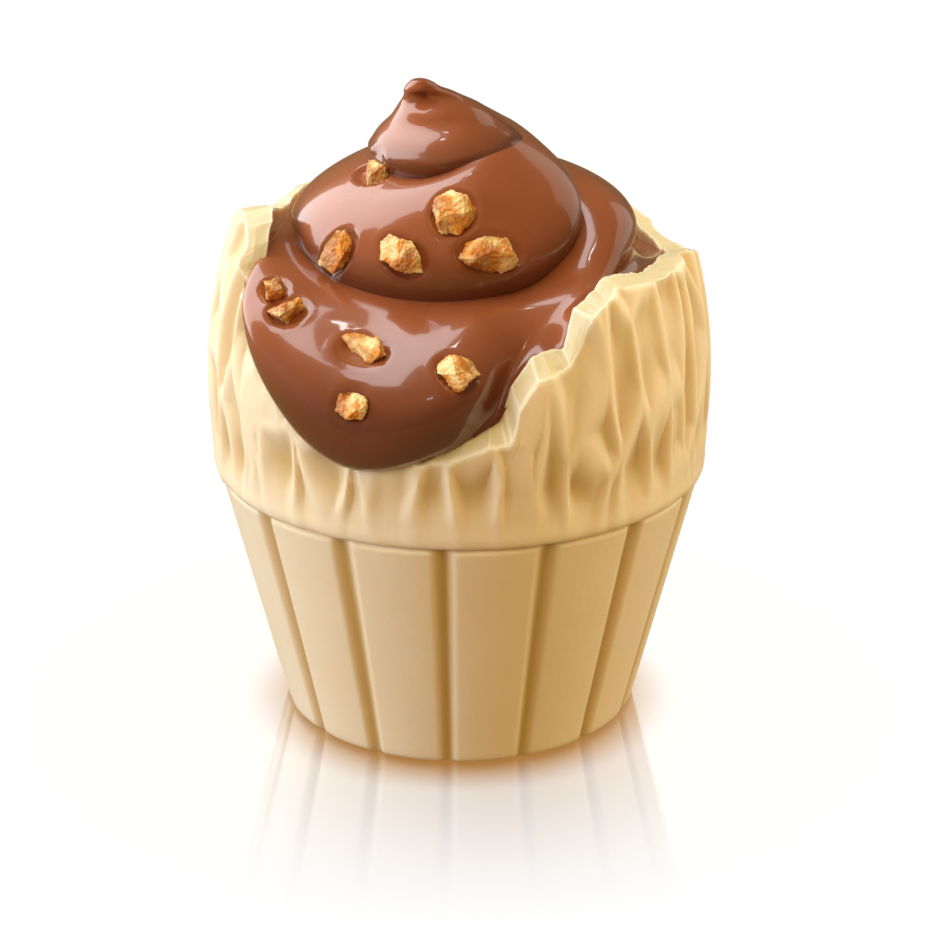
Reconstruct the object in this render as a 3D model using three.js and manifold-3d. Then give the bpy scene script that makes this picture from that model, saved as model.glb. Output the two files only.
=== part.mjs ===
// White chocolate egg, bitten open: a moulded white chocolate shell with a fluted cup below a ridged belly,
// its top broken away, and a nut cream filling that ends in a piped swirl and pours over the broken edge.
// Millimetres, +Z up, origin at the centre of the flat underside.
// An azimuth is in degrees from the front (-Y) and grows towards +X.

import * as THREE from 'three';
import Module from 'manifold-3d';

const { degToRad, lerp, clamp, smoothstep } = THREE.MathUtils;

// ---- Driving dimensions ----

const wallThickness = 1.8;
const floorThickness = 1.9;
const fillingGap = 0.3;

const cupHeight = 17.7;        // the seam between the fluted cup and the ridged belly
const cupFootRadius = 12.3;    // where the straight side would meet the ground
const cupTaper = 0.247;        // radius gained for each millimetre of height
const footRounding = 0.5;
const seamDepth = 0.3;
const seamHalfHeight = 0.3;

const fluteCount = 15;
const fluteStart = -3.7;       // azimuth of the first groove
const fluteDepth = 0.45;
const fluteShallowing = 0.72;  // share of that depth left at the foot
const fluteHalfWidth = 3.3;    // degrees
const fluteColumns = [0, 3.3, 7.8, 12, 16.2, 20.7];

const bellyRadius = 17.38;
const bellyHeight = 24.5;      // height of the widest ring
const bellyRiseBelow = 28;     // half heights of the two ellipses that meet there
const bellyRiseAbove = 23.2;

const scoopsAround = 40;
const scoopPitch = 6.5;        // height of one row of scoops
const scoopStretch = 3;        // how many times taller than wide a scoop is
const scoopDepth = 0.4;
const crestWidth = 1.4;
const scoopRows = 7;
const bellyProud = 0.1;        // the belly's crests stand this far out of its smooth form

const swirlStart = 116;        // azimuth where the band leaves the tip
const creaseBorn = 0.3;        // turns in which the first crease grows
const borderTurns = 0.12;      // turns in which the band border runs down the cone to that crease
const creaseTurns = 1.98;      // turns after which the crease has melted into the pour
const creaseFade = 0.15;       // turns that it takes to melt
const pourStart = 0.3;         // turns in which the band then widens to the wall
const tierFullness = 0.33;     // length of the tier's handles, as a share of its span
const tierTilt = -9;           // degrees down at which a tier leaves its crease
const tierLean = 25;           // and how many more on the left
const tierLeanAzimuth = -100;
const smoothFall = 42;         // degrees down of the face where there is no crease
const tuckFall = 120;          // and of a tier's underside as it turns back in to its crease
const edgeGap = 0.35;          // the cream ends this far below the broken edge
const swirlColumns = 48;       // columns in one turn
const swirlRows = 8;           // rows across one tier

// Broken edge: azimuth, height at the outer face, height at the inner face.
const brokenEdge = [
  [-152, 34.2, 34.3], [-138, 34.6, 34.9], [-128, 34.1, 35.3], [-121.5, 33.4, 34.2], [-110, 34.0, 34.4],
  [-92, 35.5, 35.9], [-78, 36.2, 36.7], [-72, 35.4, 36.1], [-67, 33.9, 34.6], [-61, 32.2, 32.5],
  [-47, 29.4, 30.2], [-35, 27.0, 28.2], [-22, 24.6, 26.6], [-9, 23.7, 25.6], [3, 24.4, 26.0],
  [7, 24.9, 26.2], [10, 25.1, 26.9], [12, 25.9, 28.3], [13.5, 27.4, 28.9], [17, 29.0, 30.1],
  [25, 29.6, 30.5], [28, 30.5, 31.5], [31, 31.8, 32.9], [41, 33.8, 34.1], [56, 33.4, 33.8],
  [65, 33.5, 33.8], [74, 34.0, 33.9], [100, 31.9, 32.0], [119, 32.0, 32.3], [130, 33.4, 33.2],
  [146, 34.0, 33.8], [168, 33.2, 33.4],
];

// Rings of the cone from the top down: step, centre x and y, radius, height, how far the ring is pinched
// in at the front, how far its ridge stands out at the back.
const coneRings = [
  [0, -2.65, -1.2, 0, 45.0, 0, 0], [0.15, -2.65, -1.2, 0.33, 44.97, 0, 0],
  [0.5, -2.68, -1.15, 0.7, 44.72, 0, 0.26], [1, -2.75, -1.1, 0.93, 44.3, 0.1, 0.72],
  [1.6, -2.35, -0.8, 1.35, 43.9, 1.15, 0.75], [2.3, -1.85, -0.3, 2.0, 43.45, 0.62, 0.3],
  [3.2, -1.45, 0, 2.68, 42.95, 0, 0.15], [4.2, -1.15, 0.05, 3.5, 42.15, 0.35, 0.3],
  [5.2, -0.85, -0.05, 4.6, 41.38, 0.1, 0.3], [6.2, -0.8, -0.2, 5.28, 40.5, 0, 0.2],
];
const pinchAzimuth = 8;
const ridgeAzimuth = 128;
const ringShare = 0.8;         // share of a cone column's rows that lies on the rings

// Slope below the rings, over the first crease and where there is no crease: the step where it leaves
// the rings, and the length of its two handles.
const creasedSlope = { lastRing: 6.2, leaveReach: 0.4, arriveReach: 0.5 };
const wholeSlope = { lastRing: 5, leaveReach: 0.36, arriveReach: 0.32 };
const borderWay = 1.12;        // how far down the whole cone the band border starts

// Crease between the tiers: turns from its start, radius and height.
const creasePath = [
  [0, 4.2, 41.75], [0.1, 4.45, 41.35], [0.2, 5.0, 40.95], [0.27, 5.1, 40.2], [0.34, 5.1, 39.5],
  [0.43, 4.95, 39.1], [0.54, 4.85, 39.5], [0.7, 5.0, 39.8], [0.82, 5.3, 39.5], [0.92, 6.1, 39.0],
  [1.0, 6.8, 38.4], [1.05, 7.6, 37.7], [1.1, 9.0, 36.6], [1.13, 9.7, 35.7], [1.16, 10.15, 34.7],
  [1.2, 10.05, 33.3], [1.3, 10.0, 32.4], [1.43, 10.0, 32.9], [1.53, 9.9, 34.0], [1.7, 9.8, 34.4],
  [1.85, 9.8, 34.6], [2.0, 10.0, 35.0],
];

// Centre of the swirl at each turn: turns, x, y.
const swirlCentre = [[0, -0.75, -0.3], [0.6, -0.8, -0.3], [1.1, -1.2, 0], [1.85, -1.2, 0], [2.1, -0.9, 0]];

// Last tier: azimuth, radius and height of its fullest line, how far across the wall it reaches
// (0 inner face, 1 outer face), height where it touches, whether it bulges over a valley (1) or runs
// flat to the wall (0), degrees down at which it leaves the crease, whether it follows the broken edge.
const pourProfile = [
  [-110, 12.4, 33.6, 0, 32.4, 1, 0, 0], [-84, 12.8, 34.2, 0, 33.0, 1, -6, 0],
  [-72, 13.6, 34.7, 0.15, 33.9, 1, -20, 0], [-66, 14.7, 34.4, 0.6, 33.3, 1, -30, 0],
  [-62, 15.8, 33.8, 0.95, 32.3, 1, -32, 0], [-57, 16.85, 32.5, 1, 30.7, 1, -28, 0],
  [-51, 17.5, 30.4, 1, 28.6, 1, -18, 0], [-45, 17.7, 28.7, 1, 26.8, 1, -4, 0],
  [-33, 18.35, 26.2, 1, 24.0, 1, 14, 0], [-21, 18.6, 25.1, 1, 22.9, 1, 26, 0],
  [-10, 18.6, 26.1, 1, 23.9, 1, 24, 0], [1, 17.3, 27.2, 0.8, 25.2, 1, 20, 0],
  [8, 15.9, 28.1, 0.15, 25.9, 0.9, 12, 0.2], [14, 14.6, 29.4, 0, 28.4, 0.6, 6, 0.9],
  [21, 13.6, 30.6, 0, 30.0, 0.4, 3, 1], [32, 12.9, 31.6, 0, 32.3, 0.2, 0, 1],
  [48, 12.3, 32.6, 0, 33.5, 0.2, 0, 1], [62, 12.0, 33.6, 0, 32.4, 1, -8, 0],
  [90, 12.0, 34.7, 0, 31.8, 1, -8, 0], [135, 11.9, 33.6, 0, 31.3, 1, 8, 0],
  [180, 12.0, 33.3, 0, 31.8, 1, 6, 0],
];
const lobeShare = 0.6;         // share of the last tier's rows above its fullest line
const lobeReach = 0.45;        // handles of its upper face, as shares of its span and of its drop
const lobeLift = 0.12;
const lobeDropLift = 0.35;
const underDrop = 0.55;        // handles of its underside where it hangs over the wall
const underReach = 0.55;
const valleyTuck = 0.55;       // millimetres that it turns back in over a valley
const valleyDrop = 0.75;
const valleyReach = 0.65;
const mergeStart = 0.22;       // share of the last tier's face where the melting crease meets it
const followStart = 0.7;       // share of a row from which it bends to the broken edge

const whiteChocolate = new THREE.MeshStandardMaterial({ color: 0xecd6a8, roughness: 0.4, metalness: 0 });
const nutCream = new THREE.MeshStandardMaterial({ color: 0x7c3f22, roughness: 0.18, metalness: 0 });

// ---- Small tools ----

const wasm = await Module();
wasm.setup();

// Point at a radius and height on an azimuth.
function polar(azimuth, radius, height) {
  const angle = degToRad(azimuth);
  return new THREE.Vector3(radius * Math.sin(angle), -radius * Math.cos(angle), height);
}

// Repeats the end rows of a table one full circle away, so that it can be read past +-180 degrees.
function wrapped(rows) {
  const before = rows.slice(-2).map(([azimuth, ...rest]) => [azimuth - 360, ...rest]);
  const after = rows.slice(0, 2).map(([azimuth, ...rest]) => [azimuth + 360, ...rest]);
  return [...before, ...rows, ...after];
}

function wrapAngle(azimuth) {
  return ((((azimuth + 180) % 360) + 360) % 360) - 180;
}

function segmentAt(rows, x) {
  let i = 0;
  while (i < rows.length - 2 && x >= rows[i + 1][0]) i += 1;
  return i;
}

// Straight lines between the rows, for a broken edge.
function readStraight(rows, x) {
  const i = segmentAt(rows, x);
  const share = (x - rows[i][0]) / (rows[i + 1][0] - rows[i][0]);
  return rows[i].slice(1).map((value, k) => lerp(value, rows[i + 1][k + 1], share));
}

function slopeAt(rows, i, k) {
  if (i === 0) return (rows[1][k] - rows[0][k]) / (rows[1][0] - rows[0][0]);
  const last = rows.length - 1;
  if (i === last) return (rows[last][k] - rows[last - 1][k]) / (rows[last][0] - rows[last - 1][0]);
  const left = rows[i][0] - rows[i - 1][0];
  const right = rows[i + 1][0] - rows[i][0];
  const rise = left * left * (rows[i + 1][k] - rows[i][k]) + right * right * (rows[i][k] - rows[i - 1][k]);
  return rise / (left * right * (left + right));
}

// One smooth curve through the rows, for anything soft.
function readSmooth(rows, x) {
  const inside = clamp(x, rows[0][0], rows[rows.length - 1][0]);
  const i = segmentAt(rows, inside);
  const span = rows[i + 1][0] - rows[i][0];
  const u = (inside - rows[i][0]) / span;
  return rows[i].slice(1).map((value, k) => {
    const start = slopeAt(rows, i, k + 1) * span;
    const end = slopeAt(rows, i + 1, k + 1) * span;
    const next = rows[i + 1][k + 1];
    return (2 * u ** 3 - 3 * u ** 2 + 1) * value + (u ** 3 - 2 * u ** 2 + u) * start
      + (3 * u ** 2 - 2 * u ** 3) * next + (u ** 3 - u ** 2) * end;
  });
}

function solidFrom(points, triangles) {
  const vertProperties = new Float32Array(points.flatMap((p) => [p.x, p.y, p.z]));
  const triVerts = new Uint32Array(triangles);
  return new wasm.Manifold(new wasm.Mesh({ numProp: 3, vertProperties, triVerts }));
}

function meshFrom(name, solid, material) {
  const { vertProperties, triVerts } = solid.getMesh();
  const geometry = new THREE.BufferGeometry();
  geometry.setAttribute('position', new THREE.BufferAttribute(vertProperties, 3));
  geometry.setIndex(new THREE.BufferAttribute(triVerts, 1));
  geometry.computeVertexNormals();
  const mesh = new THREE.Mesh(geometry, material);
  mesh.name = name;
  return mesh;
}

// ---- Shell ----

function outerRadius(height) {
  if (height < cupHeight) return cupFootRadius + cupTaper * height;
  const halfHeight = height > bellyHeight ? bellyRiseAbove : bellyRiseBelow;
  return bellyRadius * Math.sqrt(1 - ((height - bellyHeight) / halfHeight) ** 2);
}

function innerRadius(height) {
  return outerRadius(height) - wallThickness;
}

const wholeEdge = wrapped(brokenEdge);

function edgeHeights(azimuth) {
  return readStraight(wholeEdge, wrapAngle(azimuth));
}

// A groove is a narrow round-bottomed cut, so depth falls off within its half width.
function fluteCut(azimuth) {
  const pitch = 360 / fluteCount;
  const turned = (((azimuth - fluteStart) % pitch) + pitch) % pitch;
  const distance = Math.min(turned, pitch - turned);
  return fluteDepth * (1 - smoothstep(distance, 0, fluteHalfWidth));
}

function scatter(column, row, salt) {
  const wave = Math.sin(column * 127.1 + row * 311.7 + salt * 74.7) * 43758.5453;
  return wave - Math.floor(wave);
}

// Tall scoops between narrow crests: each scoop has a scattered centre, and the crests lie
// half way between neighbouring centres.
function scoopCut(azimuth, height) {
  const width = 360 / scoopsAround;
  const column = Math.floor(wrapAngle(azimuth) / width);
  const row = Math.floor((height - cupHeight) / scoopPitch);
  let nearest = Infinity;
  let second = Infinity;
  for (let c = column - 2; c <= column + 2; c += 1) {
    for (let r = row - 2; r <= row + 2; r += 1) {
      const ring = ((c % scoopsAround) + scoopsAround) % scoopsAround;
      const across = (c + scatter(ring, r, 1)) * width - wrapAngle(azimuth);
      const along = cupHeight + (r + scatter(ring, r, 2)) * scoopPitch - height;
      const distance = Math.hypot(degToRad(across) * bellyRadius, along / scoopStretch);
      if (distance < nearest) {
        second = nearest;
        nearest = distance;
      } else if (distance < second) {
        second = distance;
      }
    }
  }
  return scoopDepth * smoothstep(second - nearest, 0, crestWidth);
}

// Section of the shell on one azimuth, from the middle of its underside round to the middle of its
// inner floor. A swell pushes every face outwards, for the room the filling keeps free.
function shellSection(azimuth, swell) {
  const [outerTop, innerTop] = edgeHeights(azimuth);
  const groove = fluteCut(azimuth);
  const section = [[0, -swell]];
  section.push([outerRadius(0) - footRounding - groove * fluteShallowing + swell, -swell]);
  const cupHeights = [footRounding, cupHeight * 0.5, cupHeight - seamHalfHeight];
  for (const height of cupHeights) {
    const cut = groove * lerp(fluteShallowing, 1, height / cupHeight);
    section.push([outerRadius(height) - cut + swell, height]);
  }
  section.push([outerRadius(cupHeight) - seamDepth + swell, cupHeight]);
  const bellyStart = cupHeight + seamHalfHeight;
  for (let k = 0; k <= scoopRows; k += 1) {
    const height = lerp(bellyStart, outerTop + swell, k / scoopRows);
    const fade = smoothstep(height, bellyStart, bellyStart + 1.5);
    section.push([outerRadius(height) + bellyProud - fade * scoopCut(azimuth, height) + swell, height]);
  }
  const innerHeights = [
    innerTop + swell, lerp(innerTop, bellyHeight, 0.5), bellyHeight - 2, cupHeight + 0.5, cupHeight / 2,
  ];
  for (const height of innerHeights) section.push([innerRadius(height) - swell, height]);
  section.push([innerRadius(floorThickness) - swell, floorThickness + 0.6 + swell]);
  section.push([innerRadius(floorThickness) - 0.8 - swell, floorThickness + swell]);
  section.push([0, floorThickness + swell]);
  return section;
}

// Columns at every flute's edges, and at each corner of the broken edge that stands apart from them.
function shellAzimuths() {
  const azimuths = [];
  for (let flute = 0; flute < fluteCount; flute += 1) {
    for (const offset of fluteColumns) azimuths.push(wrapAngle(fluteStart + flute * 24 + offset));
  }
  for (const [azimuth] of brokenEdge) {
    if (azimuths.every((other) => Math.abs(other - azimuth) > 0.9)) azimuths.push(azimuth);
  }
  return azimuths.sort((a, b) => a - b);
}

// Closed solid from one section for each column; the first and last points of a section are poles.
function shellSolid(swell) {
  const azimuths = shellAzimuths();
  const sections = azimuths.map((azimuth) => shellSection(azimuth, swell));
  const rows = sections[0].length - 2;
  const points = [];
  sections.forEach((section, c) => {
    for (const [radius, height] of section.slice(1, -1)) points.push(polar(azimuths[c], radius, height));
  });
  const foot = points.push(polar(0, 0, sections[0][0][1])) - 1;
  const floor = points.push(polar(0, 0, sections[0][rows + 1][1])) - 1;
  const triangles = [];
  for (let c = 0; c < azimuths.length; c += 1) {
    const here = c * rows;
    const next = ((c + 1) % azimuths.length) * rows;
    triangles.push(foot, next, here);
    for (let r = 0; r < rows - 1; r += 1) {
      triangles.push(here + r, next + r, next + r + 1);
      triangles.push(here + r, next + r + 1, here + r + 1);
    }
    triangles.push(here + rows - 1, next + rows - 1, floor);
  }
  return solidFrom(points, triangles);
}

// ---- Swirl ----
// One long band winds down from the tip. Column by column it spans from the crease above it to the
// crease one turn later; the last turn spans from the crease to where the cream meets the wall.

const up = new THREE.Vector3(0, 0, 1);

function azimuthOf(turn) {
  return swirlStart - 360 * turn;
}

function creasePoint(turn) {
  const [radius, height] = readSmooth(creasePath, turn);
  const [x, y] = readSmooth(swirlCentre, turn);
  return polar(azimuthOf(turn), radius, height).add(new THREE.Vector3(x, y, 0));
}

// The crease fades in where it leaves the cone and fades out where it melts into the pour.
function fadeIn(turn) {
  return smoothstep(turn, 0, creaseBorn);
}

function fadeOut(turn) {
  return smoothstep(turn, creaseTurns - creaseFade, creaseTurns);
}

function creaseStrength(turn) {
  return fadeIn(turn) * (1 - fadeOut(turn));
}

function slopeDirection(turn) {
  return heading(azimuthOf(turn), smoothFall);
}

// Direction on an azimuth that points so many degrees down.
function heading(azimuth, down) {
  return polar(azimuth, Math.cos(degToRad(down)), -Math.sin(degToRad(down)));
}

function leavingDirection(turn) {
  const azimuth = azimuthOf(turn);
  const down = tierTilt + tierLean * Math.cos(degToRad(azimuth - tierLeanAzimuth));
  return slopeDirection(turn).lerp(heading(azimuth, down), creaseStrength(turn));
}

function arrivingDirection(turn) {
  return slopeDirection(turn).lerp(heading(azimuthOf(turn), tuckFall), creaseStrength(turn));
}

function bezier(start, startHandle, endHandle, end, share) {
  return new THREE.CubicBezierCurve3(start, startHandle, endHandle, end).getPoint(share);
}

function tierPoint(turn, share) {
  const above = creasePoint(turn);
  const below = creasePoint(turn + 1);
  const reach = tierFullness * above.distanceTo(below);
  const startHandle = above.clone().addScaledVector(leavingDirection(turn), reach);
  const endHandle = below.clone().addScaledVector(arrivingDirection(turn + 1), -reach);
  return bezier(above, startHandle, endHandle, below, share);
}

function ringPoint(azimuth, step) {
  const [x, y, radius, height, pinch, ridge] = readSmooth(coneRings, step);
  const pinched = Math.max(0, Math.cos(degToRad(azimuth - pinchAzimuth))) ** 1.5;
  const ridged = Math.max(0, Math.cos(degToRad(azimuth - ridgeAzimuth))) ** 2;
  const point = polar(azimuth, radius - pinch * pinched + ridge * ridged, height);
  return point.add(new THREE.Vector3(x, y, 0));
}

// Way 0 to 1 runs down the rings of the cone, 1 to 2 down its slope to the crease below.
function conePoint(turn, way, slope) {
  const azimuth = azimuthOf(turn);
  if (way < 1) return ringPoint(azimuth, way * slope.lastRing);
  const edge = ringPoint(azimuth, slope.lastRing);
  const leaving = edge.clone().sub(ringPoint(azimuth, slope.lastRing - 0.05)).normalize();
  const below = creasePoint(turn + 1);
  const reach = edge.distanceTo(below);
  const startHandle = edge.clone().addScaledVector(leaving, slope.leaveReach * reach);
  const endHandle = below.clone().addScaledVector(arrivingDirection(turn + 1), -slope.arriveReach * reach);
  return bezier(edge, startHandle, endHandle, below, way - 1);
}

function coneWay(share, slopeShare) {
  return share < ringShare ? share / ringShare : 1 + (slopeShare * (share - ringShare)) / (1 - ringShare);
}

const wholePour = wrapped(pourProfile);

function pourPoint(turn, share) {
  const azimuth = azimuthOf(turn);
  const profile = readSmooth(wholePour, wrapAngle(azimuth));
  const [fullRadius, fullHeight, reached, touchHeight, bulge, leave, follow] = profile;
  const across = clamp(reached, 0, 1);
  const start = creasePoint(turn);
  const full = polar(azimuth, fullRadius, fullHeight);
  const touch = polar(azimuth, outerRadius(touchHeight) - wallThickness * (1 - across), touchHeight);
  const bulging = share < lobeShare
    ? lobePoint(azimuth, start, full, leave, share / lobeShare)
    : undersidePoint(azimuth, full, touch, across, (share - lobeShare) / (1 - lobeShare));
  const length = start.distanceTo(touch);
  const flatStart = start.clone().add(polar(azimuth, 0.4 * length, 0.15));
  const flatEnd = touch.clone().add(polar(azimuth, -0.3 * length, 0.25));
  const point = bezier(start, flatStart, flatEnd, touch, share).lerp(bulging, clamp(bulge, 0, 1));
  const edgeRise = edgeHeights(azimuth)[1] - edgeGap - touchHeight;
  return point.addScaledVector(up, clamp(follow, 0, 1) * edgeRise * smoothstep(share, followStart, 1));
}

// Upper face of the last tier, from its crease out to its fullest line.
function lobePoint(azimuth, start, full, leave, share) {
  const span = start.distanceTo(full);
  const startHandle = start.clone().addScaledVector(heading(azimuth, leave), lobeReach * span);
  const lift = lobeLift * span + lobeDropLift * Math.abs(full.z - start.z);
  const endHandle = full.clone().addScaledVector(up, lift);
  return bezier(start, startHandle, endHandle, full, share);
}

// Its underside, back in to where the cream touches the wall.
function undersidePoint(azimuth, full, touch, across, share) {
  const drop = full.z - touch.z;
  const gap = Math.hypot(full.x - touch.x, full.y - touch.y);
  const tuckedIn = full.clone().add(polar(azimuth, -valleyTuck, -valleyDrop * drop - fillingGap));
  const straightDown = full.clone().addScaledVector(up, -underDrop * drop);
  const firstHandle = tuckedIn.lerp(straightDown, across);
  const secondHandle = touch.clone().add(polar(azimuth, lerp(-valleyReach, underReach, across) * gap, 0));
  return bezier(full, firstHandle, secondHandle, touch, share);
}

// Where a crease has faded, the two bands beside it are one smooth face, and these give the place
// on that face where the band border runs.
function startBorder(turn) {
  return borderWay * smoothstep(turn, 0, borderTurns);
}

function endBorder(turn) {
  return lerp(mergeStart, 1, clamp((turn - creaseTurns) / pourStart, 0, 1));
}

function creamPoint(turn, share) {
  if (turn < 0) {
    const way = (coneWay(share, borderWay - 1) * startBorder(turn + 1)) / borderWay;
    const creased = conePoint(turn, coneWay(share, 1), creasedSlope);
    return conePoint(turn + 1, way, wholeSlope).lerp(creased, fadeIn(turn + 1));
  }
  if (turn < creaseTurns + pourStart - 1) {
    const border = startBorder(turn);
    const whole = conePoint(turn, lerp(border, 2, share), wholeSlope);
    const tiered = whole.lerp(tierPoint(turn, share), fadeIn(turn));
    return tiered.lerp(pourPoint(turn, endBorder(turn + 1) * share), fadeOut(turn + 1));
  }
  const melted = pourPoint(turn - 1, lerp(endBorder(turn), 1, share));
  return pourPoint(turn, share).lerp(melted, fadeOut(turn));
}

// The band's grid, closed below by a plug that runs through the wall and down into the floor.
// Cutting the swollen shell out of it leaves the filling with an even gap to the chocolate.
function creamBlank() {
  const columns = Math.round((creaseTurns + pourStart + 1) * swirlColumns);
  const lastTurnStart = columns - swirlColumns;
  const points = [ringPoint(0, 0)];
  const grid = [];
  for (let c = 0; c <= columns; c += 1) {
    const turn = c / swirlColumns - 1;
    const column = [c <= swirlColumns ? 0 : grid[c - swirlColumns][swirlRows]];
    for (let r = 1; r <= swirlRows; r += 1) {
      if (c === 0) column.push(0);
      else if (c === columns) column.push(grid[lastTurnStart][swirlRows]);
      else column.push(points.push(creamPoint(turn, r / swirlRows)) - 1);
    }
    if (c === columns) column[0] = grid[lastTurnStart][swirlRows];
    grid.push(column);
  }
  const triangles = [];
  const addTriangle = (a, b, c) => {
    if (a !== b && b !== c && c !== a) triangles.push(a, b, c);
  };
  const addQuad = (a, b, c, d) => {
    addTriangle(a, b, c);
    addTriangle(a, c, d);
  };
  for (let c = 0; c < columns; c += 1) {
    for (let r = 0; r < swirlRows; r += 1) {
      addQuad(grid[c][r], grid[c + 1][r], grid[c + 1][r + 1], grid[c][r + 1]);
    }
  }
  const middle = points.push(polar(0, 0, 1)) - 1;
  const plug = [];
  for (let c = lastTurnStart; c < columns; c += 1) {
    const azimuth = azimuthOf(c / swirlColumns - 1);
    const height = points[grid[c][swirlRows]].z;
    const inWall = points.push(polar(azimuth, outerRadius(height) - wallThickness / 2, height)) - 1;
    const inCup = points.push(polar(azimuth, outerRadius(10) - wallThickness / 2, 10)) - 1;
    const inFoot = points.push(polar(azimuth, outerRadius(1) - wallThickness / 2, 1)) - 1;
    plug.push([grid[c][swirlRows], inWall, inCup, inFoot]);
  }
  plug.forEach((here, c) => {
    const next = plug[(c + 1) % plug.length];
    for (let r = 0; r < 3; r += 1) addQuad(here[r], next[r], next[r + 1], here[r + 1]);
    addTriangle(here[3], next[3], middle);
  });
  return solidFrom(points, triangles);
}

function largestBody(solid) {
  return solid.decompose().reduce((best, body) => (body.volume() > best.volume() ? body : best));
}

// ---- Assembly ----

const shell = shellSolid(0);
const filling = largestBody(creamBlank().subtract(shellSolid(fillingGap)));

const egg = new THREE.Group();
egg.add(meshFrom('white_chocolate_shell', shell, whiteChocolate));
egg.add(meshFrom('nut_cream_filling', filling, nutCream));

export default egg;
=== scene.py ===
# A filled white chocolate egg, broken open: fluted cup, scooped belly, piped nut cream and brittle chips.
import math
import bmesh
import bpy
import numpy as np
from mathutils import Matrix, Vector


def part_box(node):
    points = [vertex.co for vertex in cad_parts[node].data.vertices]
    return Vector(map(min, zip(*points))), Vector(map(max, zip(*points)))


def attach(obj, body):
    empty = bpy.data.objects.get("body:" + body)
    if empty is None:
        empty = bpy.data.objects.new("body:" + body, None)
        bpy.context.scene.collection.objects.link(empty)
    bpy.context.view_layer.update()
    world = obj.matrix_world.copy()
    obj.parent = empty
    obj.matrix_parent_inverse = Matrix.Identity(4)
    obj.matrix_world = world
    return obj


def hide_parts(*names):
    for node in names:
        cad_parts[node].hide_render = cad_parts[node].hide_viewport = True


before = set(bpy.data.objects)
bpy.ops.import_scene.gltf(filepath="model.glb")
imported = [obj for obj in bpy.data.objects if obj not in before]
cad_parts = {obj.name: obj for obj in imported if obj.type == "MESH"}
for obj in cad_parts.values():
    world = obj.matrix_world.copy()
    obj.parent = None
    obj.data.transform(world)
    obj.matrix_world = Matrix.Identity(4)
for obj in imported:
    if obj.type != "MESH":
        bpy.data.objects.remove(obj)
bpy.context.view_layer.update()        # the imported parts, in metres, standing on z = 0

mm = 0.001
shellLow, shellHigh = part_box("white_chocolate_shell")
print("frame loaded:", ", ".join(sorted(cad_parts)))


# small sums that every piece uses; lengths are millimetres until a mesh is made, and an azimuth is in
# degrees from the front and grows towards +X

def ease(start, end, x):
    t = np.clip((np.asarray(x, float) - start) / (end - start), 0, 1)
    return t * t * (3 - 2 * t)


def mix(a, b, share):
    return a + (b - a) * share


def outward(azimuth):
    angle = np.radians(azimuth)
    return np.stack([np.sin(angle), -np.cos(angle), 0 * angle], -1)


def smoothRows(rows, x):
    # one soft curve through the rows of a table; the first value of each row is where it stands
    table = np.asarray(rows, float)
    stations, values = table[:, 0], table[:, 1:]
    slopes = np.gradient(values, stations, axis=0)
    x = np.clip(np.asarray(x, float), stations[0], stations[-1])
    i = np.clip(np.searchsorted(stations, x, side="right") - 1, 0, len(stations) - 2)
    span = stations[i + 1] - stations[i]
    t = ((x - stations[i]) / span)[..., None]
    span = span[..., None]
    return ((2 * t**3 - 3 * t**2 + 1) * values[i] + (t**3 - 2 * t**2 + t) * slopes[i] * span
            + (3 * t**2 - 2 * t**3) * values[i + 1] + (t**3 - t**2) * slopes[i + 1] * span)


def roundRows(rows, azimuth):
    # the same for a table that goes once round the egg
    table = np.asarray(rows, float)
    turn = np.zeros(table.shape[1])
    turn[0] = 360
    whole = np.concatenate([table[-2:] - turn, table, table[:2] + turn])
    return smoothRows(whole, np.mod(np.asarray(azimuth, float) + 180, 360) - 180)


def lengthOf(vectors):
    return np.linalg.norm(vectors, axis=-1)[..., None]


def bezier(p0, p1, p2, p3, share):
    s = np.asarray(share)[..., None]
    return (1 - s)**3 * p0 + 3 * (1 - s)**2 * s * p1 + 3 * (1 - s) * s * s * p2 + s**3 * p3


def zigzag(count, shortest, longest, reach, seed):
    # random straight-sided line round a ring of columns
    draw = np.random.default_rng(seed)
    knots = [0]
    while knots[-1] < count - longest:
        knots.append(knots[-1] + int(draw.integers(shortest, longest + 1)))
    return np.interp(np.arange(count), knots, draw.uniform(-reach, reach, len(knots)), period=count)


def meshObject(name, points, faces):
    mesh = bpy.data.meshes.new(name)
    mesh.from_pydata((np.asarray(points) * mm).tolist(), [], faces)
    mesh.update()
    piece = bpy.data.objects.new(name, mesh)
    bpy.context.scene.collection.objects.link(piece)
    return piece


def ringFaces(low, high):
    # quads between two rings of a tube
    return np.stack([low, np.roll(low, -1), np.roll(high, -1), high], -1).tolist()


def fanFaces(ring, centre):
    return np.stack([ring, np.roll(ring, -1), 0 * ring + centre], -1).tolist()


def addAttribute(piece, name, values, kind="FLOAT"):
    field = "vector" if kind == "FLOAT_VECTOR" else "value"
    layer = piece.data.attributes.new(name, kind, "POINT")
    layer.data.foreach_set(field, np.asarray(values, np.float32).ravel())


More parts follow.
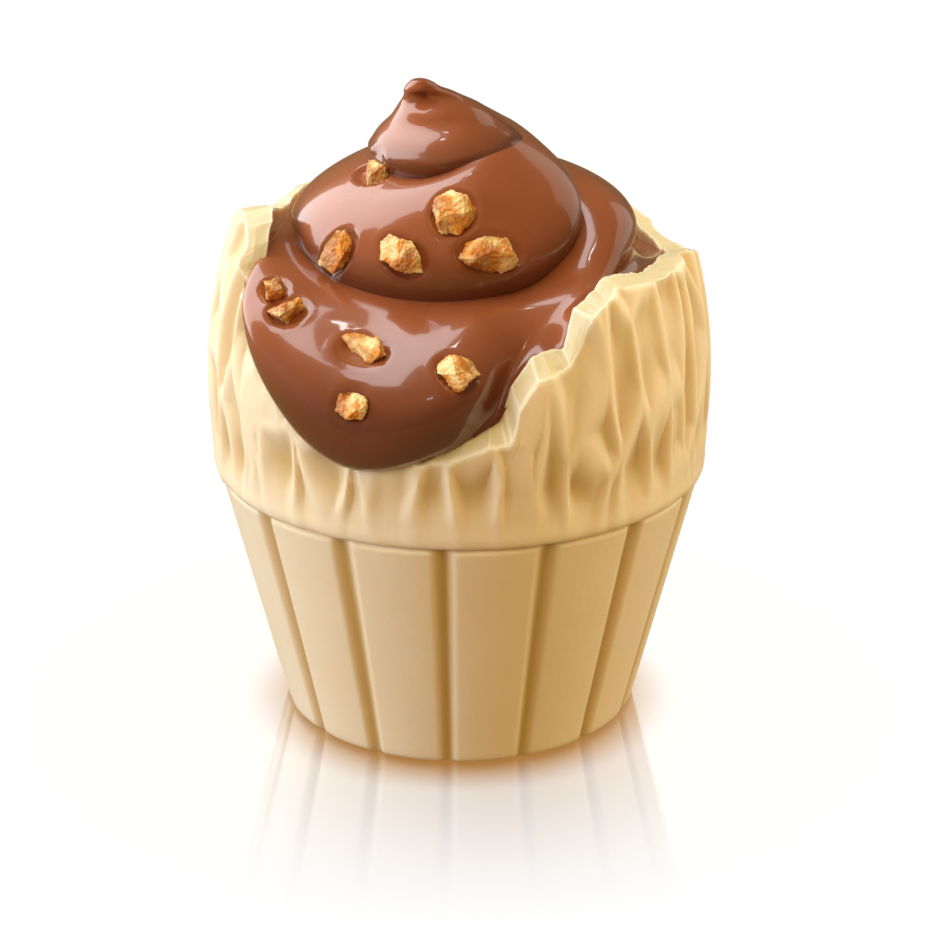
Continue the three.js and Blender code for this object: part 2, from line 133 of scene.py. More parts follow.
class NodeDesk:
    # adds nodes to one tree and wires them: a value that isn't a socket is typed into the input

    def __init__(self, tree):
        self.tree = tree

    def feed(self, socket, value):
        if isinstance(value, bpy.types.NodeSocket):
            self.tree.links.new(value, socket)
        else:
            socket.default_value = value

    def node(self, kind, inputs=None, **settings):
        made = self.tree.nodes.new(kind)
        made.location = (190 * (len(self.tree.nodes) % 12), -260 * (len(self.tree.nodes) // 12))
        for key, value in settings.items():
            setattr(made, key, value)
        for key, value in (inputs or {}).items():
            self.feed(made.inputs[key], value)
        return made

    def math(self, operation, a, b=0.0, c=0.0):
        return self.node("ShaderNodeMath", {0: a, 1: b, 2: c}, operation=operation).outputs[0]

    def plus(self, a, b):
        return self.math("ADD", a, b)

    def minus(self, a, b):
        return self.math("SUBTRACT", a, b)

    def times(self, a, b):
        return self.math("MULTIPLY", a, b)

    def over(self, a, b):
        return self.math("DIVIDE", a, b)

    def vector(self, operation, a, b=(0, 0, 0)):
        return self.node("ShaderNodeVectorMath", {0: a, 1: b}, operation=operation).outputs[0]

    def scaled(self, a, factor):
        made = self.node("ShaderNodeVectorMath", {0: a}, operation="SCALE")
        self.feed(made.inputs["Scale"], factor)
        return made.outputs[0]

    def stretch(self, value, low, high, toLow=0.0, toHigh=1.0, smooth=False):
        ends = {"Value": value, "From Min": low, "From Max": high, "To Min": toLow, "To Max": toHigh}
        kind = "SMOOTHSTEP" if smooth else "LINEAR"
        return self.node("ShaderNodeMapRange", ends, interpolation_type=kind).outputs["Result"]

    def noise(self, vector, scale, detail=2.0, roughness=0.5):
        return self.node("ShaderNodeTexNoise", {"Vector": vector, "Scale": scale, "Detail": detail,
                                                "Roughness": roughness})

    def named(self, label, kind="FLOAT"):
        return self.node("GeometryNodeInputNamedAttribute", {"Name": label}, data_type=kind).outputs[0]

    def blend(self, share, a, b):
        made = self.node("ShaderNodeMix", data_type="RGBA")
        self.feed(made.inputs["Factor"], share)
        self.feed([s for s in made.inputs if s.name == "A" and s.type == "RGBA"][0], a)
        self.feed([s for s in made.inputs if s.name == "B" and s.type == "RGBA"][0], b)
        return [s for s in made.outputs if s.type == "RGBA"][0]


def geometryTree(name, sizes, material):
    # a geometry tree with one number input for each size, and one for the material
    inputs = [("Geometry", "NodeSocketGeometry", None)]
    inputs += [(label, "NodeSocketFloat", value) for label, value in sizes.items()]
    inputs.append(("Material", "NodeSocketMaterial", material))
    return newTree(name, "GeometryNodeTree", inputs, [("Geometry", "NodeSocketGeometry")])


def endTree(desk, given, out, geometry):
    real = desk.node("GeometryNodeRealizeInstances", {0: geometry}).outputs[0]
    dressed = desk.node("GeometryNodeSetMaterial", {"Geometry": real, "Material": given["Material"]})
    desk.feed(out.inputs[0], dressed.outputs[0])
    return desk.tree


def newTree(name, kind, inputs, outputs):
    tree = bpy.data.node_groups.new(name, kind)
    for label, socket, value in inputs:
        made = tree.interface.new_socket(label, in_out="INPUT", socket_type=socket)
        if value is not None:
            made.default_value = value
    for label, socket in outputs:
        tree.interface.new_socket(label, in_out="OUTPUT", socket_type=socket)
    desk = NodeDesk(tree)
    return desk, desk.node("NodeGroupInput").outputs, desk.node("NodeGroupOutput")


def runNodes(piece, tree, settings):
    # fills the modifier's inputs by their identifiers before anything is evaluated, then bakes it in
    modifier = piece.modifiers.new(tree.name, "NODES")
    modifier.node_group = tree
    for item in tree.interface.items_tree:
        if item.item_type == "SOCKET" and item.in_out == "INPUT" and item.name in settings:
            modifier[item.identifier] = settings[item.name]
    graph = bpy.context.evaluated_depsgraph_get()
    done = bpy.data.meshes.new_from_object(piece.evaluated_get(graph), preserve_all_data_layers=True,
                                           depsgraph=graph)
    piece.modifiers.clear()
    done.name = piece.name
    piece.data = done
    return piece


# the moulded shell, in millimetres and degrees
shell = {
    "wall": 1.8,
    "floor": 1.9,
    "cupHeight": 17.7,       # seam between cup and belly
    "footRadius": 12.3,
    "taper": 0.247,
    "footRounding": 0.5,
    "bellyRadius": (shellHigh.x - shellLow.x) / 2 / mm - 0.04,
    "bellyHeight": 24.5,
    "riseBelow": 28.0,
    "riseAbove": 23.2,
    "columns": 720,
    "bellyRows": 62,
    "bellyStart": 1.7,       # where its rows begin, above the seam
    "seamProud": 0.08,       # how far the belly stands out there, and the height at which that has faded
    "seamFade": 4.0,
    "firstGroove": -3.7,     # azimuth
    "edgeBevel": 0.09,
    "outerLean": 5.0,        # drop over which the columns lean towards the creases of the edge, outside
    "innerLean": 6.0,        # and inside
    "grainRadius": 16.0,     # where the length along the edge is measured
}

# random relief of the break: columns from corner to corner at least and at most, reach, seed
splinters = {
    "innerCoarse": (2, 9, 0.13, 11),
    "innerFine": (1, 3, 0.05, 12),
    "outer": (3, 11, 0.06, 13),
    "wall": (2, 7, 0.1, 14),
    "faceWave": (4, 13, 0.06, 21),
    "faceFine": (2, 6, 0.035, 30),
}

# one row for each crease across the broken edge:
# outer azimuth, outer height, inner azimuth, inner height, and the wall's thickness if it differs there
brokenEdge = [
    (-168, 33.8, -167, 33.9), (-152, 34.3, -150, 34.3, 1.9), (-137.4, 34.6, -135, 34.9),
    (-131.5, 34.65, -127, 35.2, 1.9), (-125.5, 34.1, -122.6, 34.7), (-121.3, 33.5, -120, 34.15),
    (-116.5, 33.5, -115.5, 34.1), (-110, 34.0, -110, 34.4, 1.9), (-103.7, 34.5, -103, 35.0, 1.9),
    (-92, 35.5, -91, 35.9, 1.9), (-84, 36.1, -82, 36.4, 2.0), (-78.8, 36.35, -75.0, 36.8, 2.05),
    (-72.7, 35.6, -70.8, 36.2, 1.95), (-68.8, 34.4, -67.6, 35.1, 1.9), (-65.1, 33.2, -65.6, 33.6, 1.85),
    (-61, 32.2, -61.5, 32.5), (-54, 30.9, -55, 31.9), (-47, 29.4, -47, 30.2), (-35, 27.0, -35, 28.2),
    (-22, 24.6, -22, 26.4), (-8.3, 23.65, -9, 25.3), (-3.4, 23.8, -2.5, 25.5), (0.7, 24.2, 0.8, 25.85),
    (4.2, 24.6, 5.5, 26.3), (6.3, 25.05, 7.0, 26.15), (7.9, 24.9, 8.6, 26.15), (10.1, 24.97, 9.4, 26.35),
    (11.2, 25.3, 10.4, 27.1), (12.2, 26.1, 11.3, 27.8), (12.9, 27.25, 12.2, 28.5), (15.2, 28.3, 14.2, 29.0),
    (17.1, 29.0, 17.5, 30.1), (23.5, 29.25, 23.0, 30.45), (25.75, 29.7, 26.0, 30.6), (29.0, 30.9, 27.7, 31.5),
    (31.7, 32.5, 29.9, 32.7), (36.2, 33.2, 37.4, 33.75), (41.3, 33.9, 40.6, 34.15), (43.0, 33.6, 45.0, 34.25),
    (48.8, 33.65, 48.5, 34.0), (58.5, 33.4, 54.0, 33.85, 1.9), (61.5, 33.6, 58.5, 33.65, 1.9),
    (65.7, 33.5, 62.5, 33.75, 2.0), (69.5, 33.8, 67.0, 33.7, 2.0), (74.0, 34.05, 71.0, 33.9, 2.0),
    (81, 33.6, 79, 33.5, 2.0), (93, 32.6, 92, 32.4, 2.0), (105, 31.7, 106.5, 31.75, 2.0),
    (112.7, 31.5, 111, 32.1, 1.9), (121.8, 32.3, 119.7, 32.4), (130, 33.4, 130, 33.2), (146, 34.0, 145, 33.8),
    (162, 33.2, 163, 33.4), (175, 33.5, 176, 33.4),
]

seamProfile = [   # height from the seam, step out from the cup or the belly
    (-0.55, 0.0), (-0.4, 0.0), (-0.28, -0.03), (-0.18, -0.1), (-0.1, -0.22), (-0.02, -0.38),
    (0.05, -0.3), (0.1, -0.1), (0.18, 0.05), (0.32, 0.15), (0.55, 0.2), (0.9, 0.18), (1.3, 0.12),
]


def outerRadius(height):
    height = np.asarray(height, float)
    rise = np.where(height > shell["bellyHeight"], shell["riseAbove"], shell["riseBelow"])
    belly = shell["bellyRadius"] * np.sqrt(1 - ((height - shell["bellyHeight"]) / rise)**2)
    cup = shell["footRadius"] + shell["taper"] * height
    return np.where(height < shell["cupHeight"], cup, belly)


def edgeLines():
    # spreads the creases over the columns, so that each crease is one clean line across the wall
    columns = shell["columns"]
    step = 360 / columns
    azimuths = shell["firstGroove"] - 180 + step * np.arange(columns)
    rows = np.array([(*row, shell["wall"])[:5] for row in brokenEdge], float)
    middle = (rows[:, 0] + rows[:, 2]) / 2
    places = np.round((middle - azimuths[0]) / step)
    order = np.argsort(places)
    lines = {"azimuth": azimuths}
    spots = np.arange(columns)
    for k, label in enumerate(("outerAzimuth", "outerHeight", "innerAzimuth", "innerHeight", "wall")):
        values = rows[order, k]
        turned = label.endswith("Azimuth")
        if turned:
            values = values - (azimuths[0] + step * places[order])
        lines[label] = np.interp(spots, places[order], values, period=columns)
        if turned:
            lines[label] = lines[label] + azimuths
    for label, relief in (("innerHeight", "innerCoarse"), ("innerHeight", "innerFine"),
                          ("outerHeight", "outer"), ("wall", "wall")):
        lines[label] += zigzag(columns, *splinters[relief])
    return lines


rimLines = edgeLines()


def innerEdgeHeight(azimuth):
    # the inner edge of the break without its splinters
    places, heights = np.array([row[2:4] for row in brokenEdge], float).T
    steps = (-1.5, 0, 1.5)
    return sum(np.interp(azimuth + step, places, heights, period=360) for step in steps) / len(steps)


def shellPiece():
    lines = rimLines
    azimuth = lines["azimuth"]
    cup = shell["cupHeight"]
    rounding = shell["footRounding"]
    marks = ("cupFace", "bellyFace", "broken", "inside")
    table = {label: [] for label in ("radius", "height", "azimuth", *marks)}

    def addRow(radius, height, where=azimuth, **shares):
        values = {"radius": radius, "height": height, "azimuth": where, **shares}
        for label, column in table.items():
            column.append(np.broadcast_to(values.get(label, 0.0), azimuth.shape).astype(float))

    # foot, its rounded corner, cup and seam
    for radius in (4, 8, 10.8):
        addRow(radius, 0)
    for angle in np.radians([8, 25, 45, 65, 88]):
        height = rounding * (1 - math.cos(angle))
        addRow(float(outerRadius(height)) - rounding * (1 - math.sin(angle)), height, cupFace=math.sin(angle))
    for height in np.linspace(0.9, cup - 0.8, 8):
        addRow(outerRadius(height), height, cupFace=1)
    for rise, out in seamProfile:
        addRow(outerRadius(cup + rise) + out, cup + rise, cupFace=rise < 0, bellyFace=rise >= 0)

    # belly, whose columns lean towards the creases of the edge as they near it
    bellyStart = cup + shell["bellyStart"]
    bellyRows = shell["bellyRows"]
    outerTop = lines["outerHeight"]
    lean = lines["outerAzimuth"] - azimuth
    for k in range(bellyRows + 1):
        height = mix(bellyStart, outerTop - shell["edgeBevel"], k / bellyRows)
        where = azimuth + lean * ease(shell["outerLean"], 0, outerTop - height)
        proud = shell["seamProud"] * ease(cup + shell["seamFade"], bellyStart, height)
        addRow(outerRadius(height) + proud, height, where, bellyFace=1)

    # the break itself, with a narrow bevel along both of its edges
    innerTop = lines["innerHeight"]
    innerRing = outerRadius(innerTop) - lines["wall"]
    outerRing = outerRadius(outerTop)
    breakRow = len(table["radius"])
    wave = zigzag(len(azimuth), *splinters["faceWave"])
    shortest, longest, reach, seed = splinters["faceFine"]
    shares = (0.05, 0.2, 0.36, 0.52, 0.68, 0.84, 0.96)
    for share in shares:
        fine = zigzag(len(azimuth), shortest, longest, reach, seed + int(share * 100))
        relief = (wave + fine) * math.sin(math.pi * share)
        where = mix(lines["outerAzimuth"], lines["innerAzimuth"], share)
        addRow(mix(outerRing, innerRing, share), mix(outerTop, innerTop, share) + relief, where,
               bellyFace=(1 - share)**2, broken=1)
    innerLean = lines["innerAzimuth"] - azimuth
    # the inside of the shell; its inside mark paints shade there, fading in just below the break
    for drop in (0.12, 0.4, 0.8, 1.3, 1.9, 2.6, 3.5, 4.6, 6):
        height = innerTop - drop
        wall = mix(lines["wall"], shell["wall"], ease(0, 4, drop))
        where = azimuth + innerLean * ease(shell["innerLean"], 0, drop)
        addRow(outerRadius(height) - wall, height, where, inside=ease(0.05, 0.5, drop))
    floor = shell["floor"]
    for height in (17.2, 12, 7, floor + 0.8):
        addRow(outerRadius(height) - shell["wall"], height, inside=1)
    for radius in (outerRadius(floor) - shell["wall"] - 0.8, 7, 3):
        addRow(radius, floor, inside=1)

    table = {label: np.array(column) for label, column in table.items()}
    points = outward(table["azimuth"]) * table["radius"][..., None]
    points[..., 2] = table["height"]
    rows, columns = table["radius"].shape
    points = points.reshape(-1, 3)
    grid = np.arange(rows * columns).reshape(rows, columns)
    faces = sum((ringFaces(*grid[r:r + 2]) for r in range(rows - 1)), [])
    faces += fanFaces(grid[0][::-1], len(points)) + fanFaces(grid[-1], len(points) + 1)
    points = np.vstack([points, [0, 0, 0], [0, 0, floor]])
    piece = meshObject("chocolateShell", points, faces)
    for label in marks:
        addAttribute(piece, label, np.append(table[label].ravel(), [0, 1 if label == "inside" else 0]))
    along = np.radians(table["azimuth"]) * shell["grainRadius"]
    addAttribute(piece, "alongEdge", np.append(along.ravel(), [0, 0]))

    # painted highlight lines: along both edges of the break and down its clearest creases
    rise = np.array([lines["outerHeight"], lines["innerHeight"]])
    bend = np.abs(np.roll(rise, -3, 1) + np.roll(rise, 3, 1) - 2 * rise).max(0)
    breakHighlight = np.zeros((rows, columns))
    ridge = (np.roll(bend, 1) <= bend) & (np.roll(bend, -1) < bend)
    breakHighlight[breakRow:breakRow + len(shares)] = ease(0.25, 0.7, bend) * ridge
    for row in (breakRow, breakRow + len(shares) - 1, breakRow + len(shares)):
        breakHighlight[row] = 1
    breakHighlight[breakRow - 1] = 0.5
    addAttribute(piece, "breakHighlight", np.append(breakHighlight.ravel(), [0, 0]))
    return piece, (breakRow * columns, (breakRow + len(shares)) * columns)


def markSharp(piece, breakSpan, plainAngle, brokenAngle):
    # crisp where two faces meet at an angle; the break keeps even its shallow creases
    mesh = piece.data
    mesh.shade_smooth()
    mesh.set_sharp_from_angle(angle=math.radians(plainAngle))
    work = bmesh.new()
    work.from_mesh(mesh)
    for edge in work.edges:
        broken = all(breakSpan[0] <= corner.index < breakSpan[1] for corner in edge.verts)
        if broken and round(math.degrees(edge.calc_face_angle(0)), 3) > brokenAngle:
            edge.smooth = False
    work.to_mesh(mesh)
    work.free()


carving = {
    "Flutes": 15.0,
    "First groove": shell["firstGroove"],        # degrees
    "Groove half width": 3.2,    # degrees
    "Groove depth": 0.5 * mm,
    "Foot groove": 0.72,         # its depth at the foot, as a share
    "Panel crown": 0.1 * mm,
    "Cup height": shell["cupHeight"] * mm,
    "Scoop width": 2.7 * mm,
    "Scoop stretch": 3.4,
    "Scoop depth": 0.85 * mm,
    "Scoop start": 0.9 * mm,     # above the seam
    "Scoop fade": 3.5 * mm,
    "Scoop waver": 0.5,
    "Waver scale": 300.0,
    "Depth scale": 130.0,        # how fast the scoops change in depth
    "Crest width": 0.2,
    "Swell": 0.28 * mm,
    "Swell scale": 95.0,
}


def carvingTree(material):
    # cuts the flutes into the cup and the tall scoops into the belly
    desk, given, out = geometryTree("chocolateCarving", carving, material)
    place = desk.node("GeometryNodeInputPosition").outputs[0]
    xyz = desk.node("ShaderNodeSeparateXYZ", {0: place}).outputs
    cupFace, bellyFace = desk.named("cupFace"), desk.named("bellyFace")

    # flutes: share of a pitch from the nearest groove
    angle = desk.math("DEGREES", desk.math("ARCTAN2", xyz[0], desk.times(xyz[1], -1.0)))
    pitch = desk.over(360.0, given["Flutes"])
    turned = desk.over(desk.minus(angle, given["First groove"]), pitch)
    share = desk.minus(turned, desk.math("FLOOR", turned))
    nearest = desk.times(desk.math("MINIMUM", share, desk.minus(1.0, share)), pitch)
    groove = desk.stretch(nearest, given["Groove half width"], 0.0, 0.0, 1.0, smooth=True)
    climb = desk.over(xyz[2], given["Cup height"])
    deep = desk.times(given["Groove depth"], desk.stretch(climb, 0.0, 1.0, given["Foot groove"], 1.0))
    crown = desk.times(desk.times(share, desk.minus(1.0, share)), 4.0)
    fluteCut = desk.minus(desk.times(groove, deep), desk.times(crown, given["Panel crown"]))
    fluteCut = desk.times(fluteCut, cupFace)

    # scoops: tall cells whose borders are the crests
    low = desk.vector("MULTIPLY", place, (1, 1, 0.45))
    waver = desk.noise(low, given["Waver scale"], 1.0).outputs["Color"]
    waver = desk.scaled(desk.vector("SUBTRACT", waver, (0.5, 0.5, 0.5)), given["Scoop waver"])
    squeeze = desk.node("ShaderNodeCombineXYZ", {0: 1.0, 1: 1.0, 2: desk.over(1.0, given["Scoop stretch"])})
    tall = desk.vector("MULTIPLY", place, squeeze.outputs[0])
    tall = desk.scaled(tall, desk.over(1.0, given["Scoop width"]))
    cells = desk.node("ShaderNodeTexVoronoi", {"Vector": desk.vector("ADD", tall, waver), "Scale": 1.0},
                      feature="DISTANCE_TO_EDGE")
    gap = desk.over(cells.outputs["Distance"], given["Crest width"])
    crest = desk.math("EXPONENT", desk.times(desk.times(gap, gap), -1.0))
    vary = desk.stretch(desk.noise(place, given["Depth scale"], 1.0).outputs["Fac"], 0.3, 0.7, 0.45, 1.15)
    start = desk.plus(given["Cup height"], given["Scoop start"])
    grown = desk.stretch(xyz[2], start, desk.plus(start, given["Scoop fade"]), 0.12, 1.0, smooth=True)
    shadedHollow = desk.times(desk.times(desk.minus(1.0, crest), vary), grown)
    swell = desk.noise(desk.vector("MULTIPLY", place, (1, 1, 0.6)), given["Swell scale"], 1.0).outputs["Fac"]
    swell = desk.times(desk.minus(swell, 0.5), given["Swell"])
    scoopCut = desk.times(desk.minus(desk.times(shadedHollow, given["Scoop depth"]), swell), bellyFace)

    level = desk.vector("MULTIPLY", place, (1, 1, 0))
    away = desk.vector("NORMALIZE", level)
    move = desk.scaled(away, desk.times(desk.plus(fluteCut, scoopCut), -1.0))
    # painted shade: the colour darkens in the scoops' hollows and the flute grooves
    shade = desk.plus(desk.times(shadedHollow, bellyFace), desk.times(groove, cupFace))
    kept = desk.node("GeometryNodeStoreNamedAttribute", {
        "Geometry": given["Geometry"], "Name": "shadedHollow", "Value": shade}, data_type="FLOAT", domain="POINT")
    moved = desk.node("GeometryNodeSetPosition", {"Geometry": kept.outputs[0], "Offset": move})
    return endTree(desk, given, out, moved.outputs[0])


# the piped cream: one band wound round a cone
swirl = {
    "pinchAzimuth": 8.0,         # where the tip is pinched in under its rounded end
    "ridgeAzimuth": 128.0,       # where its long shoulder runs down
    "tierFullness": 0.33,
    "tierTilt": -9.0,            # how steeply a tier leaves its crease, in degrees
    "tierLean": 25.0,            # and how much more on the left
    "startAzimuth": 116.0,       # where the band leaves the tip; it winds clockwise seen from above
    "creaseStart": 0.1,          # turns after which the first crease starts to show
    "creaseFull": 0.38,          # and after which it is full
    "borderTurns": 0.12,         # turns in which a column's own cone rows reach their full length
    "borderWay": 1.12,           # and that length, where 1 is all the rings
    "creaseTurns": 1.98,         # where the crease has melted away
    "creaseFade": 0.15,          # turns in which it does
    "pourStart": 0.3,            # turns from there to the end of the band
    "mergeStart": 0.22,          # share of the last tier's face where the melting crease meets it
    "columnsPerTurn": 400,
    "rows": 56,
}

# rings of the cone, from the top down: step, centre x and y, radius, height, pinch and ridge
coneRings = [
    (0, -2.65, -1.2, 0, 45.0, 0, 0), (0.15, -2.65, -1.2, 0.33, 44.97, 0, 0),
    (0.5, -2.68, -1.15, 0.7, 44.72, 0, 0.26), (1, -2.75, -1.1, 0.93, 44.3, 0.1, 0.72),
    (1.6, -2.35, -0.8, 1.35, 43.9, 1.15, 0.75), (2.3, -1.85, -0.3, 2.0, 43.45, 0.62, 0.3),
    (3.2, -1.45, 0, 2.68, 42.95, 0, 0.15), (4.2, -1.15, 0.05, 3.5, 42.15, 0.35, 0.3),
    (5.2, -0.85, -0.05, 4.6, 41.38, 0.1, 0.3), (6.2, -0.8, -0.2, 5.28, 40.5, 0, 0.2),
]
creasedLast, wholeLast = 6.2, 5.0     # the step where a column leaves the rings

# crease between the tiers: turns from its start, radius, height
creasePath = [
    (0, 4.2, 41.75), (0.1, 4.45, 41.35), (0.2, 5.0, 40.95), (0.27, 5.1, 40.2), (0.34, 5.1, 39.5),
    (0.43, 4.95, 39.1), (0.54, 4.85, 39.5), (0.7, 5.0, 39.8), (0.82, 5.3, 39.5), (0.92, 6.1, 39.0),
    (1.0, 6.8, 38.4), (1.05, 7.6, 37.7), (1.1, 9.0, 36.6), (1.13, 9.7, 35.7), (1.16, 10.15, 34.7),
    (1.2, 10.05, 33.3), (1.3, 10.0, 32.4), (1.43, 10.0, 32.9), (1.53, 9.9, 34.15), (1.7, 9.8, 34.4),
    (1.85, 9.8, 34.6), (2.0, 10.0, 35.0),
]

# centre of the crease: turns, x, y
swirlCentre = [(0, -0.75, -0.3), (0.6, -0.8, -0.3), (1.1, -1.2, 0), (1.85, -1.2, 0), (2.1, -0.9, 0)]

# last tier: azimuth, radius and height of its fullest line, how far across the wall it reaches,
# height where it touches, whether it bulges over a valley (1) or runs flat to the wall (0),
# how steeply it leaves the crease in degrees, and whether it follows the broken edge
pourProfile = [
    (-110, 12.4, 33.6, 0, 32.4, 1, 0, 0), (-84, 12.6, 33.6, 0, 33.0, 1, 0, 0),
    (-72, 13.5, 33.6, 0.15, 34.1, 1, -6, 0), (-66, 14.9, 33.1, 0.6, 33.8, 1, -8, 0),
    (-62, 16.1, 32.4, 0.95, 32.5, 1, -8, 0), (-57, 17.1, 31.5, 1, 30.5, 1, -6, 0),
    (-51, 17.6, 30.2, 1, 28.4, 1, -4, 0), (-45, 17.7, 28.7, 1, 26.8, 1, 4, 0),
    (-33, 18.35, 26.2, 1, 24.0, 1, 14, 0), (-21, 18.6, 25.1, 1, 22.9, 1, 26, 0),
    (-10, 18.6, 26.1, 1, 23.9, 1, 24, 0), (1, 17.3, 27.2, 0.65, 25.2, 1, 20, 0),
    (8, 15.9, 28.1, 0.15, 25.9, 0.9, 12, 0.2), (14, 14.6, 29.4, 0, 28.4, 0.4, 6, 0.9),
    (21, 13.6, 30.6, 0, 30.0, 0.15, 3, 1), (32, 12.9, 31.6, 0, 32.3, 0.1, 0, 1),
    (48, 12.3, 32.6, 0, 33.5, 0.15, 0, 1), (62, 12.0, 33.6, 0, 32.4, 1, -8, 0),
    (90, 12.0, 34.7, 0, 31.8, 1, -8, 0), (135, 11.9, 33.6, 0, 31.3, 1, 8, 0),
    (180, 12.0, 33.3, 0, 31.8, 1, 6, 0),
]

# the rows are averaged over a few degrees, so that the tongue flows without folds: step, share
pourBlur = [(-8, 0.11), (-4, 0.22), (0, 0.34), (4, 0.22), (8, 0.11)]

# handles of the last tier's curves: shares of the length that they bend, and millimetres
pour = {
    "lobeShare": 0.6,                # share of a column above its fullest line
    "lobeReach": 0.45,
    "lobeLift": (0.12, 0.35, 1.7),   # of its span, of its drop, and mm at least
    "hang": (0.55, 0.55),            # underside over the wall: down, out
    "valley": (0.75, 0.3, 0.55, 0.65),   # underside over a valley: down, mm down, mm in, out
    "flatLeave": (0.4, 0.15),        # along, mm up
    "flatArrive": (0.3, 0.25),
    "edgeDrop": 0.35,                # mm below the inner edge where it ends
    "followStart": 0.7,              # share of a column from which it bends to the broken edge
}
upward = np.array([0, 0, 1.0])


def azimuthOf(turn):
    return swirl["startAzimuth"] - 360 * turn


def creasePoint(turn):
    ring = smoothRows(creasePath, turn)
    centre = smoothRows(swirlCentre, turn)
    point = outward(azimuthOf(turn)) * ring[..., 0:1]
    point[..., 0] += centre[..., 0]
    point[..., 1] += centre[..., 1]
    point[..., 2] = ring[..., 1]
    return point


def fadeIn(turn):
    return ease(swirl["creaseStart"], swirl["creaseFull"], turn)


def fadeOut(turn):
    return ease(swirl["creaseTurns"] - swirl["creaseFade"], swirl["creaseTurns"], turn)


def creaseStrength(turn):
    return (fadeIn(turn) * (1 - fadeOut(turn)))[..., None]


def plainSlope(out):
    # the way down where no crease shows
    return 0.74 * out - 0.67 * upward


def leaving(turn):
    azimuth = azimuthOf(turn)
    out = outward(azimuth)
    tilt = np.radians(swirl["tierTilt"] + swirl["tierLean"] * np.cos(np.radians(azimuth + 100)))
    sharp = out * np.cos(tilt)[..., None] - upward * np.sin(tilt)[..., None]
    return mix(plainSlope(out), sharp, creaseStrength(turn))


def arriving(turn):
    out = outward(azimuthOf(turn))
    return mix(plainSlope(out), -0.5 * out - 0.87 * upward, creaseStrength(turn))


def tierPoint(turn, share):
    above, below = creasePoint(turn), creasePoint(turn + 1)
    reach = swirl["tierFullness"] * lengthOf(below - above)
    return bezier(above, above + reach * leaving(turn), below - reach * arriving(turn + 1), below, share)


def ringPoint(azimuth, step):
    centreX, centreY, radius, height, pinch, ridge = np.moveaxis(smoothRows(coneRings, step), -1, 0)
    pinched = np.clip(np.cos(np.radians(azimuth - swirl["pinchAzimuth"])), 0, 1)**1.5
    ridged = np.clip(np.cos(np.radians(azimuth - swirl["ridgeAzimuth"])), 0, 1)**2
    point = outward(azimuth) * (radius - pinch * pinched + ridge * ridged)[..., None]
    point[..., 0] += centreX
    point[..., 1] += centreY
    point[..., 2] = height
    return point


def conePoint(turn, way, last, handles):
    # way 0 to 1 runs down the rings, 1 to 2 down the slope to the crease below
    azimuth = azimuthOf(turn)
    ring = ringPoint(azimuth, np.clip(way, 0, 1) * last)
    edge = ringPoint(azimuth, last + 0 * way)
    leave = edge - ringPoint(azimuth, last - 0.05 + 0 * way)
    leave /= lengthOf(leave)
    below = creasePoint(turn + 1)
    reach = lengthOf(below - edge)
    slope = bezier(edge, edge + handles[0] * reach * leave, below - handles[1] * reach * arriving(turn + 1),
                   below, np.clip(way - 1, 0, 1))
    return np.where((way < 1)[..., None], ring, slope)


def creasedCone(turn, way):
    return conePoint(turn, way, creasedLast, (0.4, 0.5))


def wholeCone(turn, way):
    return conePoint(turn, way, wholeLast, (0.36, 0.32))


def coneWay(share, slopeShare):
    # most rows of a column lie on the rings, the last ones on the slope
    rows = 0.8
    return np.where(share < rows, share / rows, 1 + slopeShare * (share - rows) / (1 - rows))


def pourPoint(turn, share):
    azimuth = azimuthOf(turn)
    out = outward(azimuth)
    profile = sum(part * roundRows(pourProfile, azimuth + step) for step, part in pourBlur)
    fullRadius, fullHeight, across, touchHeight, bulge, leave, follow = np.moveaxis(profile, -1, 0)[..., None]
    across, bulge, follow = np.clip(across, 0, 1), np.clip(bulge, 0, 1), np.clip(follow, 0, 1)
    start = creasePoint(turn)
    full = out * fullRadius + upward * fullHeight
    touch = out * (outerRadius(touchHeight) - shell["wall"] * (1 - across)) + upward * touchHeight

    # over the top to the fullest line
    span = lengthOf(full - start)
    slope = np.radians(leave)
    heading = out * np.cos(slope) - upward * np.sin(slope)
    ofSpan, ofDrop, least = pour["lobeLift"]
    lift = np.maximum(ofSpan * span + ofDrop * np.abs(full - start)[..., 2:3], least)
    turnUnder = pour["lobeShare"]
    lobe = bezier(start, start + heading * span * pour["lobeReach"], full + upward * lift, full,
                  np.clip(share / turnUnder, 0, 1))

    # under it to the wall: turned in over a valley, or hanging over the wall
    drop = (full - touch)[..., 2:3]
    gap = lengthOf((full - touch)[..., :2])
    (hangDown, hangOut), (valleyDown, deeper, tuck, valleyOut) = pour["hang"], pour["valley"]
    valley = full - upward * (drop * valleyDown + deeper) - out * tuck
    first = mix(valley, full - upward * drop * hangDown, across)
    second = mix(touch - out * gap * valleyOut, touch + out * gap * hangOut, across)
    under = bezier(full, first, second, touch, np.clip((share - turnUnder) / (1 - turnUnder), 0, 1))
    bulging = np.where((share < turnUnder)[..., None], lobe, under)

    # or flat from the crease to the wall
    length = lengthOf(touch - start)
    (leaveReach, leaveLift), (arriveReach, arriveLift) = pour["flatLeave"], pour["flatArrive"]
    flat = bezier(start, start + out * length * leaveReach + upward * leaveLift,
                  touch - out * length * arriveReach + upward * arriveLift, touch, share)
    edge = innerEdgeHeight(azimuth)[..., None] - pour["edgeDrop"] - touchHeight
    bent = follow * edge * ease(pour["followStart"], 1, share)[..., None]
    return mix(flat, bulging, bulge) + upward * bent


def startBorder(turn):
    # how far down the cone its own rows reach before the band's second turn takes over
    return swirl["borderWay"] * ease(0, swirl["borderTurns"], turn)


def endBorder(turn):
    passed = np.clip((turn - swirl["creaseTurns"]) / swirl["pourStart"], 0, 1)
    return mix(swirl["mergeStart"], 1, passed)


